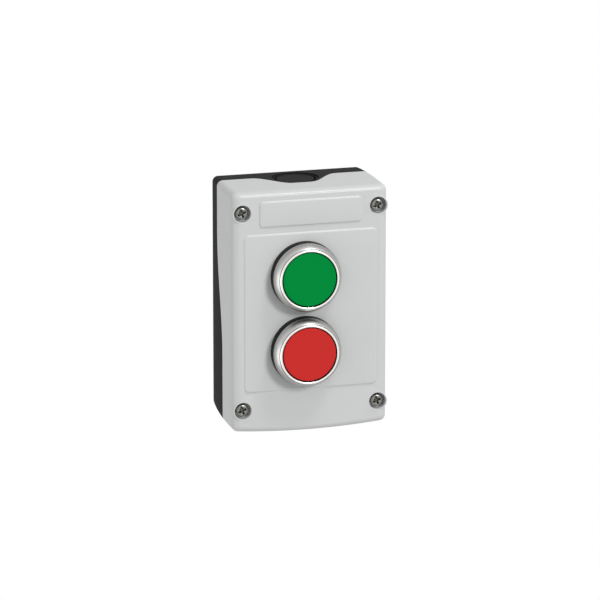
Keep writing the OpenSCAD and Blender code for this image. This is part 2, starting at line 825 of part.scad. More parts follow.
// Height of the fixed strips: the pair that closes on pressing lies below the bridge, the other above it
function strip_z(side) = side < 0 ? chamber_floor + strip_lift : bridge_z + metal_t + 2 * tip_t + tip_gap;

module fixed_contacts(i, side) {
    z = strip_z(side);
    low = min(z, terminal_z);
    high = max(z, terminal_z) + metal_t;
    color(copper) at_head(i) for (s = [-1, 1]) {
        difference() {
            rotate([90, 0, 0]) mirror([s < 0 ? 1 : 0, 0, 0]) linear_extrude(strip_w, center = true) {
                translate([strip_in, z]) square([riser_x + metal_t - strip_in, metal_t]);
                translate([riser_x, low]) square([metal_t, high - low]);
                translate([riser_x, terminal_z]) square([pocket_out - seat_gap - riser_x, metal_t]);
            }
            translate([s * terminal_x, 0, 0]) cylinder(h = far, r = terminal_d / 2 + seat_gap);
        }
        translate([s * tip_x, 0, side < 0 ? z : z - tip_t]) cylinder(h = tip_t + metal_t, r = tip_d / 2);
    }
}

module terminal_screws(i) {
    head_z = terminal_z + metal_t + clamp_lift + clamp_t;
    head_h = 1.8;
    foot_z = chamber_floor + free_gap;
    color(steel_grey) at_head(i) for (s = [-1, 1]) {
        translate([s * terminal_x, 0, 0]) {
            translate([0, 0, head_z]) pan_head(terminal_head_d, head_h);
            translate([0, 0, foot_z]) cylinder(h = head_z - foot_z, r = terminal_d / 2);
        }
    }
}

// Saddle washers with turned-down edges that press the wires on the strips
module wire_clamps(i) {
    outer = pocket_w - 2 * clamp_gap;
    inner = outer - 2 * clamp_t;
    color(steel_grey) at_head(i) for (s = [-1, 1]) {
        translate([s * terminal_x, 0, terminal_z + metal_t]) difference() {
            translate([-clamp_w / 2, -outer / 2, 0]) cube([clamp_w, outer, clamp_lift + clamp_t]);
            translate([-clamp_w, -inner / 2, -past]) cube([2 * clamp_w, inner, clamp_lift + past]);
            cylinder(h = far, r = terminal_d / 2 + seat_gap);
        }
    }
}

base_shell();
cover_shell();
cover_gasket();
cover_screws();
threaded_inserts();
screw_seals();
mounting_rail();
rail_screws();
cap(0, start_green);  // start_cap
bezel(0);  // start_bezel
head_body(0);  // start_head_body
panel_gasket(0);  // start_panel_gasket
lock_nut(0);  // start_lock_nut
plunger(0);  // start_plunger
return_spring(0);  // start_return_spring
stem_seal(0);  // start_stem_seal
contact_housing(0);  // start_contact_housing
contact_carrier(0);  // start_contact_carrier
contact_bridge(0, -1);  // start_contact_bridge
contact_spring(0);  // start_contact_spring
fixed_contacts(0, -1);  // start_fixed_contacts
terminal_screws(0);  // start_terminal_screws
wire_clamps(0);  // start_wire_clamps
cap(1, stop_red);  // stop_cap
bezel(1);  // stop_bezel
head_body(1);  // stop_head_body
panel_gasket(1);  // stop_panel_gasket
lock_nut(1);  // stop_lock_nut
plunger(1);  // stop_plunger
return_spring(1);  // stop_return_spring
stem_seal(1);  // stop_stem_seal
contact_housing(1);  // stop_contact_housing
contact_carrier(1);  // stop_contact_carrier
contact_bridge(1, 1);  // stop_contact_bridge
contact_spring(1);  // stop_contact_spring
fixed_contacts(1, 1);  // stop_fixed_contacts
terminal_screws(1);  // stop_terminal_screws
wire_clamps(1);  // stop_wire_clamps
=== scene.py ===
"""Looks of the two-button control station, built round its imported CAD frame.

Shapes are worked out in millimetres in the wall's frame (x across, y up, z out from the wall) and
stood up in the row frame: a point (x, y, z) there is (x, -z, y) in metres here.
"""

import json
import math

import bmesh
import bpy
import numpy as np
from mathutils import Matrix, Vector
from mathutils.geometry import delaunay_2d_cdt


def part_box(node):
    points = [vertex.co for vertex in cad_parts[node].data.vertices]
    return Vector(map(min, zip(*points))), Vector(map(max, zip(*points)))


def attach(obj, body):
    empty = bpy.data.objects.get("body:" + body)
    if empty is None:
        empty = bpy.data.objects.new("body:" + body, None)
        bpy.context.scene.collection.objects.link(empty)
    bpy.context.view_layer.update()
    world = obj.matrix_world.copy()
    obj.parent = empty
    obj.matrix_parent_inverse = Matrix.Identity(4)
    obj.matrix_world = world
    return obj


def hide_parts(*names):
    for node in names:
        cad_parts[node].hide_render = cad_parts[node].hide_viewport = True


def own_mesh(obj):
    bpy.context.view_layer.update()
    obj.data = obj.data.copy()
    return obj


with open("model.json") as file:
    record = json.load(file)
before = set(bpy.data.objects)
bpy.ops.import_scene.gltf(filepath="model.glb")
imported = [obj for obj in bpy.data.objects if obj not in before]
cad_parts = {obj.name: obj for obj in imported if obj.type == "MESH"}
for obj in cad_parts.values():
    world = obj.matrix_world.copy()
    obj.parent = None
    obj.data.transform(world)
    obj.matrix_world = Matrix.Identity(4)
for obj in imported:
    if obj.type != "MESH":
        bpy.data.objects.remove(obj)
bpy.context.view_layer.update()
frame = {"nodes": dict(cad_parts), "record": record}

MM = 0.001

# Welding distances for new meshes, for the slivers in them and for the results of booleans
WELD, SLIVER, CUT_WELD = 0.002 * MM, 0.001 * MM, 0.003 * MM
# Edges sharper than this many degrees stay hard
SHARP = 35
# How far a cutting tool runs past the face it cuts
PAST = 1.0

# Enclosure, as in the CAD
FRONT_W, BACK_W = 62.5, 60.5
TOP_FRONT, TOP_BACK = 47.6, 47.0
BOTTOM_FRONT, BOTTOM_BACK, BOTTOM_BOW = 48.3, 46.2, 1.3
DEPTH = 35.0
CORNER_BACK, CORNER_FRONT, CORNER_MIN = 2.2, 2.6, 0.8
FRONT_ROUND, ROUND_TOP, ROUND_BOTTOM = 3.5, 2.0, 2.5
WALL_T, FLOOR_T, PANEL_T = 2.4, 2.5, 2.5
PANEL_BACK = DEPTH - PANEL_T
EDGE_ROUND, BACK_ROUND = 0.25, 0.5

# Joint between base and cover. A point above TOP_ZONE belongs to the top wall.
EDGE_HIGH, EDGE_LOW = 9.8, 18.0
WAVE_TOP, WAVE_BOTTOM = 27.0, -21.0
TONGUE_H, TONGUE_FLAT, TONGUE_FOOT = 22.2, 3.5, 17.3
TOP_ZONE = TOP_BACK - WALL_T - 1
SEAL_W, SEAL_T = 1.0, 1.0
SEAL_INSET = (WALL_T - SEAL_W) / 2

# Raised areas: width, top, bottom and corner radius, and their edge's height at distances inwards
RAISE = 0.5
PLATE_AREA = (53.6, 31.0, -32.2, 2.0)
LABEL_AREA = (41.2, 44.0, 33.6, 1.5)
RAISED_EDGE = ((-0.02, 0.0), (0.03, 0.13), (0.1, 0.21), (0.25, 0.32), (0.42, 0.42), (0.58, 0.475),
               (0.75, 0.5))

# Cover screws, their wells and columns
SCREW_X, SCREW_Y = 27.3, 39.5
COLUMN_R, COLUMN_REACH = 4.2, 29.5
WELL_R, WELL_Z, BOSS_R = 3.4, 31.9, 3.9
SCREW_R, SCREW_HOLE_R, SCREW_GRIP = 1.5, 1.8, 5.0
SCREW_HEAD_R, SCREW_HEAD_H = 2.5, 1.8
INSERT_R, INSERT_POCKET = 2.3, 7.0

# Wall holes, rail bosses and knockouts
WALL_HOLE_X, WALL_HOLE_Y, WALL_HOLE_R = 18.0, 35.0, 2.25
WALL_RING_R, WALL_RING_H = 4.5, 1.2
RAIL_BOSS_Y = (-31.5, 28.9)
RAIL_BOSS_R, RAIL_BOSS_H, RAIL_HOLE_R, RAIL_HOLE_Z = 3.5, 3.0, 1.5, 1.2
KNOCKOUT_TOP_R, KNOCKOUT_TOP_Z = 8.25, 12.6
KNOCKOUT_LOW_R, KNOCKOUT_LOW_Z = 6.0, 9.0
KNOCKOUT_LEDGE, KNOCKOUT_STEP, KNOCKOUT_LINE, KNOCKOUT_WEB = 1.0, 0.5, 0.8, 0.6

# Heads
HEADS = ("start", "stop")
BARREL_R, BARREL_BORE_R, STEM_BORE_R = 11.0, 8.6, 4.05
PANEL_HOLE_R = 11.15
KEY_W, KEY_H, KEY_GAP = 2.8, 1.0, 0.1
COLLAR_R, BEZEL_R, CAP_R = 13.7, 13.6, 10.65
HEAD_SEAL_IN, HEAD_SEAL_OUT, HEAD_SEAL_T = 12.2, 13.2, 0.8
CAP_GAP, RIM_W = 0.3, 1.0
CAP_BORE_R = CAP_R + CAP_GAP
TRAVEL, SHELF_T = 3.5, 1.5
# Springs of a head: kind, wire diameter and turns
SPRINGS = (("return", 0.9, 5.5), ("contact", 0.5, 4.0))


def wall_point(corner):
    """The row frame's point in metres as (across, up, out) in millimetres."""
    return np.array([corner[0], corner[2], -corner[1]]) / MM


def span_out(node):
    """How far out from the wall a CAD node starts and ends, in millimetres."""
    low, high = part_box(node)
    return wall_point(high)[2], wall_point(low)[2]


def head_centre(head):
    """Where a head's axis passes, from its cap's box in the frame."""
    low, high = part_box(head + "_cap")
    middle = (wall_point(low) + wall_point(high)) / 2
    return middle[0], middle[1]


def upright(points):
    """Millimetres in the wall's frame to metres in the row frame."""
    return np.stack([points[..., 0], -points[..., 2], points[..., 1]], -1) * MM


def ease(t):
    """Half a cosine wave, from 0 at t = 0 to 1 at t = 1, level outside."""
    return (1 - np.cos(np.pi * np.clip(t, 0, 1))) / 2


# Meshes


def mesh_piece(name, patches, sharp=SHARP, ring_steps=0):
    """A piece from patches, each a pair of points and faces: joined, welded where they meet, its
    faces outwards. With ring_steps, its only patch is a turned form and gets a UV map that runs
    round and along it."""
    points = np.concatenate([p for p, _ in patches])
    starts = np.cumsum([0] + [len(p) for p, _ in patches])
    faces = [f for (_, fs), s in zip(patches, starts) for f in (np.asarray(fs) + s).tolist()]
    mesh = bpy.data.meshes.new(name)
    mesh.from_pydata(upright(points).tolist(), [], faces)
    if ring_steps:
        map_ring(mesh, points, ring_steps)
    form = bmesh.new()
    form.from_mesh(mesh)
    bmesh.ops.remove_doubles(form, verts=form.verts, dist=WELD)
    bmesh.ops.dissolve_degenerate(form, edges=form.edges, dist=SLIVER)
    bmesh.ops.recalc_face_normals(form, faces=form.faces)
    form.to_mesh(mesh)
    form.free()
    piece = bpy.data.objects.new(name, mesh)
    bpy.context.scene.collection.objects.link(piece)
    soften(mesh, sharp)
    return piece


def map_ring(mesh, points, steps):
    """UV map of a turned form: u is the share of the turn, whole at the last column's far side,
    and v the length along the profile in centimetres."""
    mm_per_cm, corners = 10, 4
    loops = np.empty(len(mesh.loops), np.int32)
    mesh.loops.foreach_get("vertex_index", loops)
    columns = (loops % steps).reshape(-1, corners)
    last = columns.max(1, keepdims=True) == steps - 1
    turn = np.where(last & (columns == 0), steps, columns) / steps
    profile = points[::steps]
    along = np.cumsum(np.r_[0, np.linalg.norm(np.diff(profile, axis=0), axis=1)]) / mm_per_cm
    uv = np.column_stack([turn.ravel(), along[loops // steps]])
    mesh.uv_layers.new(name="UVMap").data.foreach_set("uv", uv.astype(np.float32).ravel())


def soften(mesh, sharp):
    """Smooth shading, broken at edges sharper than the given angle."""
    mesh.shade_smooth()
    mesh.set_sharp_from_angle(angle=math.radians(sharp))


def face_middles(mesh):
    """Middle of every face as (across, up, out) in millimetres."""
    middles = np.empty(len(mesh.polygons) * 3)
    mesh.polygons.foreach_get("center", middles)
    middles = middles.reshape(-1, 3) / MM
    return np.column_stack([middles[:, 0], middles[:, 2], -middles[:, 1]])


def part_materials(piece, names, choice):
    """Several materials on one piece: choice holds the place in names of each face's own."""
    for name in names:
        piece.data.materials.append(MATERIALS[name])
    piece.data.polygons.foreach_set("material_index", choice.astype(np.int32))


def strip(rings):
    """Quads between closed rings of equal length, carried from one ring to the next."""
    rings = np.asarray(rings, float)
    rows, cols = rings.shape[:2]
    i, j = np.meshgrid(np.arange(rows - 1), np.arange(cols), indexing="ij")
    k = (j + 1) % cols
    quads = np.stack([i * cols + j, i * cols + k, (i + 1) * cols + k, (i + 1) * cols + j], -1)
    return rings.reshape(-1, 3), quads.reshape(-1, 4)


def flat_fill(outer, holes, z):
    """Triangles of the flat region inside the ring outer and outside the convex rings in holes, at
    the height z."""
    inside_only, tolerance = 1, 1e-6
    rings = [outer] + list(holes)
    points = np.concatenate([r[:, :2] for r in rings])
    owner = np.repeat(np.arange(len(rings)), [len(r) for r in rings])
    starts = np.cumsum([0] + [len(r) for r in rings])
    edges = [(s + i, s + (i + 1) % len(r)) for r, s in zip(rings, starts) for i in range(len(r))]
    made = delaunay_2d_cdt([Vector(p) for p in points], edges, [], inside_only, tolerance)
    faces = np.array(made[2])
    owners = owner[faces]
    inside_hole = (owners[:, 0] > 0) & (owners == owners[:, :1]).all(1)
    flat = np.array([tuple(v) for v in made[0]])
    return np.column_stack([flat, np.full(len(flat), z)]), faces[~inside_hole]


def revolve(profile, centre, steps):
    """A profile of (radius, height) points turned round the axis through centre, along the wall's
    normal."""
    profile = np.asarray(profile, float)
    turn = np.linspace(0, 2 * np.pi, steps, endpoint=False)
    x = centre[0] + profile[:, :1] * np.cos(turn)
    y = centre[1] + profile[:, :1] * np.sin(turn)
    z = np.broadcast_to(profile[:, 1:], x.shape)
    return strip(np.stack([x, y, z], -1))


def rod(centre, r, low, high, steps=96):
    """Closed cylinder along the wall's normal."""
    return revolve([(0, low), (r, low), (r, high), (0, high)], centre, steps)


def prism(outline, low, high):
    """Closed prism of an outline of (x, y) points, from the height low to the height high."""
    rings = [np.column_stack([outline, np.full(len(outline), z)]) for z in (low, high)]
    middle = [np.broadcast_to(np.r_[outline.mean(0), z], rings[0].shape) for z in (low, high)]
    return strip([middle[0], rings[0], rings[1], middle[1]])


def arc(cx, cy, r, start, end, steps):
    """Points of an arc round (cx, cy) from the start angle to the end angle, in degrees."""
    turn = np.radians(np.linspace(start, end, steps + 1))
    return np.column_stack([cx + r * np.cos(turn), cy + r * np.sin(turn)])


def carve(piece, patches, operation="DIFFERENCE"):
    """The piece less, or joined with, closed patches that keep clear of each other, by one exact
    boolean. Its slivers are welded and its many-sided faces split, so that the piece stays
    closed."""
    tool = mesh_piece("tool", patches)
    step = piece.modifiers.new("carve", "BOOLEAN")
    step.operation = operation
    step.solver = "EXACT"
    step.object = tool
    cut = piece.evaluated_get(bpy.context.evaluated_depsgraph_get())
    made = bpy.data.meshes.new_from_object(cut)
    piece.modifiers.remove(step)
    old = piece.data
    piece.data = made
    bpy.data.objects.remove(tool)
    bpy.data.meshes.remove(old)
    made.name = piece.name
    form = bmesh.new()
    form.from_mesh(made)
    bmesh.ops.remove_doubles(form, verts=form.verts, dist=CUT_WELD)
    many_sided = [f for f in form.faces if len(f.verts) > 4]
    bmesh.ops.triangulate(form, faces=many_sided, ngon_method="BEAUTY")
    form.to_mesh(made)
    form.free()
    soften(made, SHARP)


# Form of the box


def share(z):
    """Share of the way from the wall to where the front edge's rounding starts: z over that height,
    from 0 to 1."""
    return np.clip(z / (DEPTH - FRONT_ROUND), 0, 1)


def swell(z):
    """Share of the walls' swelling at height z: 1 less the cube of what is left of the way, so
    that a wall leans fast near the back and stands straight at the front."""
    return 1 - (1 - share(z)) ** 3


def top_at(z):
    """Height of the top face above the screws' centre, z out from the wall."""
    return TOP_BACK + (TOP_FRONT - TOP_BACK) * swell(z)


def bottom_at(z):
    """Depth of the bottom face's corners below the screws' centre, z out from the wall."""
    return BOTTOM_BACK + (BOTTOM_FRONT - BOTTOM_BACK) * swell(z)


def round_path(corner, top, side, bottom):
    """Path round a rounded rectangle, as the place of the corner circles' centre across (-1 to 1)
    and up (0 to 1), the outward normal, and 1 on the lower side. Corners have `corner` steps each,
    and the sides their own number."""
    def side_part(a, b, n, normal, low):
        t = np.linspace(0, 1, n, endpoint=False)[:, None]
        centre = np.array(a) + (np.array(b) - np.array(a)) * t
        return np.column_stack([centre, np.tile(normal, (n, 1)), np.full(n, low)])

    def corner_part(centre, start):
        turn = np.radians(np.linspace(start, start + 90, corner, endpoint=False))
        return np.column_stack([np.tile(centre, (corner, 1)), np.cos(turn), np.sin(turn),
                                np.zeros(corner)])

    return np.concatenate([
        corner_part((1, 1), 0), side_part((1, 1), (-1, 1), top, (0, 1), 0),
        corner_part((-1, 1), 90), side_part((-1, 1), (-1, 0), side, (-1, 0), 0),
        corner_part((-1, 0), 180), side_part((-1, 0), (1, 0), bottom, (0, -1), 1),
        corner_part((1, 0), 270), side_part((1, 0), (1, 1), side, (1, 0), 0)]).T


BOX_PATH = round_path(corner=14, top=110, side=90, bottom=60)
AREA_PATH = round_path(corner=10, top=12, side=12, bottom=12)


def box_ring(z, inset, draw=0.0):
    """Ring of the box at height z, drawn in by inset all round and, at the front edge's rounding,
    by draw at the sides and in proportion above and below: a rounded rectangle, its lower side
    bowed out by a parabola."""
    across, up, nx, ny, low_side = BOX_PATH
    z = np.broadcast_to(np.asarray(z, float), across.shape)
    draw_top, draw_low = draw * ROUND_TOP / FRONT_ROUND, draw * ROUND_BOTTOM / FRONT_ROUND
    corner = CORNER_BACK + (CORNER_FRONT - CORNER_BACK) * share(z) - inset - draw_top
    r = np.maximum(CORNER_MIN, corner)
    half = (BACK_W + (FRONT_W - BACK_W) * swell(z)) / 2 - inset - draw - r
    top = top_at(z) - inset - draw_top - r
    low = inset + draw_low + r - bottom_at(z)
    y = low + (top - low) * up + r * ny - BOTTOM_BOW * swell(z) * (1 - across ** 2) * low_side
    return np.stack([half * across + r * nx, y, z], -1)


def rounded_rings(z, inset, r, steps):
    """Rings of a rounded front edge of radius r that ends at height z, from its side to its
    face."""
    turn = np.radians(np.linspace(0, 90, steps + 1))
    return [box_ring(z, inset, r * (1 - math.cos(a))) + [0, 0, r * (math.sin(a) - 1)]
            for a in turn]


def joint_height(ring):
    """Height of the joint at each point of a ring: an S on the side walls and a tongue on the top
    wall, both of half cosine waves."""
    x, y = ring[:, 0], ring[:, 1]
    edge = EDGE_HIGH + (EDGE_LOW - EDGE_HIGH) * ease((WAVE_TOP - y) / (WAVE_TOP - WAVE_BOTTOM))
    away = (np.abs(x) - TONGUE_FLAT) / (TONGUE_FOOT - TONGUE_FLAT)
    tongue = TONGUE_H - (TONGUE_H - EDGE_HIGH) * ease(away)
    return np.maximum(edge, np.where(y > TOP_ZONE, tongue, 0))


def joint_ring(inset, lift):
    """Ring of the box along the joint, lifted off it."""
    first = box_ring(joint_height(box_ring(EDGE_HIGH, inset)), inset)
    return box_ring(joint_height(first) + lift, inset)


def wall_rings(inset, low, high, count):
    """Rings of a wall, at even shares of the way between the heights low and high."""
    return [box_ring(low + (high - low) * t, inset) for t in np.linspace(0, 1, count)]


def raised_rings(area):
    """Rings of a raised area's edge, from its foot to its top: rounded rectangles that shrink as
    they rise, along RAISED_EDGE."""
    width, top, bottom, radius = area
    across, up, nx, ny, _ = AREA_PATH
    rings = []
    for inset, rise in RAISED_EDGE:
        r = radius - inset
        x = across * (width / 2 - radius) + nx * r
        y = bottom + radius + (top - bottom - 2 * radius) * up + ny * r
        rings.append(np.stack([x, y, np.full_like(x, DEPTH + rise)], -1))
    return rings


# Shells


def at_screws():
    """The four cover screws' places, with the joint's height there."""
    return [((x * SCREW_X, y * SCREW_Y), EDGE_HIGH if y > 0 else EDGE_LOW)
            for x in (-1, 1) for y in (-1, 1)]


def column(centre, low, high):
    """Screw column: a cylinder cut flat where it would come through the side wall."""
    outline = arc(*centre, COLUMN_R, 0, 360, 96)[:-1]
    outline[:, 0] = np.clip(outline[:, 0], -COLUMN_REACH, COLUMN_REACH)
    return prism(outline, low, high)


def panel_hole(centre):
    """Hole for a head in the panel, with the notch for the head's key at its top."""
    half, reach = KEY_W / 2 + KEY_GAP, PANEL_HOLE_R + KEY_H + KEY_GAP
    start = math.degrees(math.acos(half / PANEL_HOLE_R))
    hole = arc(0, 0, PANEL_HOLE_R, 180 - start, 360 + start, 140)
    outline = np.concatenate([[(half, reach), (-half, reach)], hole]) + centre
    return prism(outline, PANEL_BACK - PAST, DEPTH + 2 * PAST)


def build_cover():
    """Cover shell: inner walls, grooved lip along the joint, outer walls, rounded front edge,
    raised areas, then screw columns, bosses, wells and the heads' holes."""
    inner_round, sunk, face_inset = FRONT_ROUND / 2, 0.2, 0.2
    rings = rounded_rings(PANEL_BACK, WALL_T, inner_round, 5)[::-1]
    inner_foot = joint_ring(WALL_T, 0)[:, 2]
    inner_top = np.full(len(inner_foot), PANEL_BACK - inner_round)
    rings += wall_rings(WALL_T, inner_top, inner_foot, 8)[1:]
    rings += [joint_ring(SEAL_INSET + SEAL_W, 0), joint_ring(SEAL_INSET + SEAL_W, SEAL_T),
              joint_ring(SEAL_INSET, SEAL_T), joint_ring(SEAL_INSET, 0)]
    rings += [joint_ring(EDGE_ROUND * (1 - math.cos(a)), EDGE_ROUND * (1 - math.sin(a)))
              for a in np.radians(np.linspace(90, 0, 5))]
    outer_foot = rings[-1][:, 2]
    rings += wall_rings(0, outer_foot, np.full(len(outer_foot), DEPTH - FRONT_ROUND), 14)[1:]
    rings += rounded_rings(DEPTH, 0, FRONT_ROUND, 14)[1:]
    rings += [box_ring(DEPTH, face_inset, FRONT_ROUND)]
    plate, label = raised_rings(PLATE_AREA), raised_rings(LABEL_AREA)
    patches = [strip(rings), flat_fill(rings[0], [], PANEL_BACK), strip(plate), strip(label),
               flat_fill(rings[-1], [plate[0], label[0]], DEPTH),
               flat_fill(plate[-1], [], DEPTH + RAISE), flat_fill(label[-1], [], DEPTH + RAISE)]
    cover = mesh_piece("cover_moulding", patches)
    carve(cover, [column(c, joint, PANEL_BACK + sunk) for c, joint in at_screws()], "UNION")
    boss_lip, boss_foot, rise = 0.2, WELL_Z - 0.4, 0.01
    boss = np.concatenate([[(0, boss_foot), (BOSS_R, boss_foot)],
                           arc(BOSS_R - boss_lip, DEPTH + rise - boss_lip, boss_lip, 0, 90, 5),
                           [(0, DEPTH + rise)]])
    carve(cover, [revolve(boss, c, 120) for c, _ in at_screws()], "UNION")
    well_lip = 0.15
    well = np.concatenate([[(0, -PAST), (SCREW_HOLE_R, -PAST), (SCREW_HOLE_R, WELL_Z),
                            (WELL_R, WELL_Z)],
                           arc(WELL_R + well_lip, DEPTH + rise - well_lip, well_lip, 180, 90, 4),
                           [(WELL_R + well_lip, DEPTH + PAST), (0, DEPTH + PAST)]])
    tools = [revolve(well, c, 120) for c, _ in at_screws()]
    groove_play = 0.1
    groove_r = INSERT_R + SEAL_W - groove_play
    for c, joint in at_screws():
        foot, roof = joint - PAST, joint + SEAL_T
        tools.append(revolve([(INSERT_R, foot), (groove_r, foot), (groove_r, roof),
                              (INSERT_R, roof), (INSERT_R, foot)], c, 96))
    tools += [panel_hole(head_centre(h)) for h in HEADS]
    carve(cover, tools)
    return cover


def knockout(r, y, z, slope, facing):
    """Sunk disc and break line of a knockout, as one turned tool. Its axis runs along y, outwards
    as facing says, and leans with the face by slope, the face's rise for each step out from the
    wall."""
    deep, ledge_r, line_r = WALL_T - KNOCKOUT_WEB, r + KNOCKOUT_LEDGE, r - KNOCKOUT_LINE
    profile = [(0, PAST), (ledge_r, PAST), (ledge_r, -KNOCKOUT_STEP), (r, -KNOCKOUT_STEP),
               (r, -deep), (line_r, -deep), (line_r, -KNOCKOUT_STEP), (0, -KNOCKOUT_STEP)]
    points, faces = revolve(profile, (0, 0), 120)
    x, along, out_y = points.T
    turn = math.atan(slope)
    up = out_y * facing
    return np.column_stack([x, y + up * math.cos(turn) + along * math.sin(turn),
                            z + along * math.cos(turn) - up * math.sin(turn)]), faces


def slope_of(face, z):
    """Rise of a face's height function for each step out from the wall at height z."""
    return (face(z + 1) - face(z - 1)) / 2


def build_base():
    """Base shell: rounded back edge, outer walls, lip along the joint, inner walls and floor, then
    columns, rings, bosses, holes and knockouts."""
    sunk = 0.3
    rings = [box_ring(0, BACK_ROUND * (1 - math.cos(a))) + [0, 0, BACK_ROUND * (1 - math.sin(a))]
             for a in np.radians(np.linspace(90, 0, 5))]
    outer_edge = joint_ring(0, -EDGE_ROUND)[:, 2]
    rings += wall_rings(0, np.full(len(outer_edge), BACK_ROUND), outer_edge, 12)[1:]
    rings += [joint_ring(EDGE_ROUND * (1 - math.cos(a)), EDGE_ROUND * (math.sin(a) - 1))
              for a in np.radians(np.linspace(0, 90, 5))[1:]]
    inner_edge = joint_ring(WALL_T, 0)[:, 2]
    rings += wall_rings(WALL_T, inner_edge, np.full(len(inner_edge), FLOOR_T), 8)
    patches = [strip(rings), flat_fill(rings[0], [], 0), flat_fill(rings[-1], [], FLOOR_T)]
    base = mesh_piece("base_moulding", patches)
    wall_holes = [(x * WALL_HOLE_X, y * WALL_HOLE_Y) for x in (-1, 1) for y in (-1, 1)]
    rail_bosses = [(head_centre(HEADS[0])[0], y) for y in RAIL_BOSS_Y]
    raised = [column(c, FLOOR_T - sunk, joint) for c, joint in at_screws()]
    raised += [rod(c, WALL_RING_R, FLOOR_T - sunk, FLOOR_T + WALL_RING_H) for c in wall_holes]
    raised += [rod(c, RAIL_BOSS_R, FLOOR_T - sunk, FLOOR_T + RAIL_BOSS_H) for c in rail_bosses]
    carve(base, raised, "UNION")
    tools = [rod(c, WALL_HOLE_R, -PAST, FLOOR_T + WALL_RING_H + PAST, 64) for c in wall_holes]
    tools += [rod(c, INSERT_R, joint - INSERT_POCKET, joint + PAST, 64) for c, joint in at_screws()]
    tools += [rod(c, RAIL_HOLE_R, RAIL_HOLE_Z, FLOOR_T + RAIL_BOSS_H + PAST, 48)
              for c in rail_bosses]
    low = bottom_at(KNOCKOUT_LOW_Z) + BOTTOM_BOW * swell(KNOCKOUT_LOW_Z)
    top_slope, low_slope = slope_of(top_at, KNOCKOUT_TOP_Z), -slope_of(bottom_at, KNOCKOUT_LOW_Z)
    tools += [knockout(KNOCKOUT_TOP_R, top_at(KNOCKOUT_TOP_Z), KNOCKOUT_TOP_Z, top_slope, 1),
              knockout(KNOCKOUT_LOW_R, -low, KNOCKOUT_LOW_Z, low_slope, -1)]
    carve(base, tools)
    return base


# Heads


def build_cap(head):
    """Flush cap: flat underside, straight side, rounded edge and a slightly hollow face, a
    parabola."""
    under, face = span_out(head + "_cap")
    edge, dish, foot, run_in = 0.4, 0.15, 0.4, 0.1
    face_r = CAP_R - edge
    side = [(0, under), (CAP_R - foot, under), (CAP_R, under + foot), (CAP_R, face - edge - run_in)]
    rim = arc(face_r, face - edge, edge, 0, 90, 10)
    spread = np.linspace(1, 0, 14)[1:]
    hollow = np.column_stack([spread * face_r, face - dish * (1 - spread ** 2)])
    profile = np.concatenate([side, rim, hollow])
    return mesh_piece(head + "_cap_moulding", [revolve(profile, head_centre(head), 160)], sharp=50)


def bezel_profile(low, high):
    """Bezel's section: straight foot, a shoulder between a straight line and a quarter circle, a
    fine groove, a half-round rim, and the bore, closed at the foot. Also the height where the rim
    starts."""
    chamfer, foot, groove, run_in = 0.2, 1.0, 0.3, 0.1
    rim_r = CAP_BORE_R + RIM_W
    shoulder_r, shoulder_z = rim_r + chamfer, high - RIM_W / 2
    t = np.linspace(0, 1, 17)
    turn = np.pi / 2 * t
    shoulder = np.column_stack([BEZEL_R - (BEZEL_R - shoulder_r) * (t + 1 - np.cos(turn)) / 2,
                                low + foot + (shoulder_z - low - foot) * (t + np.sin(turn)) / 2])
    rim = arc(CAP_BORE_R + RIM_W / 2, high - RIM_W / 2, RIM_W / 2, 0, 180, 16)
    foot_part = [(CAP_BORE_R, low), (BEZEL_R - chamfer, low), (BEZEL_R, low + chamfer),
                 (BEZEL_R, low + foot - run_in)]
    profile = np.concatenate([foot_part, shoulder, [(rim_r, shoulder_z - groove)], rim,
                              [(CAP_BORE_R, low)]])
    return profile, shoulder_z - groove


def build_bezel(head):
    """Turned metal ring with a satin shoulder, a polished rim and a bore in black plastic, painted
    shade for the dark gap round the cap; each in its own material."""
    steps, painted_shade_skin = 192, 0.15
    centre = head_centre(head)
    profile, rim_z = bezel_profile(*span_out(head + "_bezel"))
    ring = mesh_piece(head + "_bezel_ring", [revolve(profile, centre, steps)], sharp=40,
                      ring_steps=steps)
    middles = face_middles(ring.data)
    spread = np.hypot(*(middles[:, :2] - centre).T)
    on_rim = (middles[:, 2] > rim_z) & (spread < CAP_BORE_R + RIM_W)
    # The bore's faces take black plastic: painted shade for the gap between cap and rim.
    painted_shade_bore = spread < CAP_BORE_R + painted_shade_skin
    part_materials(ring, ("bezel_metal", "bezel_rim", "black_plastic"),
                   np.where(painted_shade_bore, 2, on_rim))
    return ring


def build_collar(head):
    """Collar and barrel in one: a black collar with a rounded edge, the well for the cap, the
    barrel and the key that sits in the panel."""
    end, top = span_out(head + "_head_body")
    edge, chamfer, key_root, overlap = 0.4, 0.5, 1, 0.01
    plate_z, shelf = DEPTH + RAISE, end + SHELF_T
    well = span_out(head + "_cap")[0] - TRAVEL - CAP_GAP
    seal_top = plate_z + HEAD_SEAL_T
    barrel = [(STEM_BORE_R, end), (BARREL_R - chamfer, end), (BARREL_R, end + chamfer),
              (BARREL_R, plate_z), (HEAD_SEAL_IN, plate_z), (HEAD_SEAL_IN, seal_top),
              (HEAD_SEAL_OUT, seal_top), (HEAD_SEAL_OUT, plate_z), (COLLAR_R, plate_z)]
    bore = [(CAP_BORE_R, top), (CAP_BORE_R, well), (BARREL_BORE_R, well), (BARREL_BORE_R, shelf),
            (STEM_BORE_R, shelf), (STEM_BORE_R, end)]
    profile = np.concatenate([barrel, arc(COLLAR_R - edge, top - edge, edge, 0, 90, 6), bore])
    centre = head_centre(head)
    collar = mesh_piece(head + "_collar", [revolve(profile, centre, 160)])
    half, low, high = KEY_W / 2, BARREL_R - key_root, BARREL_R + KEY_H
    key = np.array([(half, low), (half, high), (-half, high), (-half, low)])
    carve(collar, [prism(key + centre, PANEL_BACK, plate_z + overlap)], "UNION")
    return collar


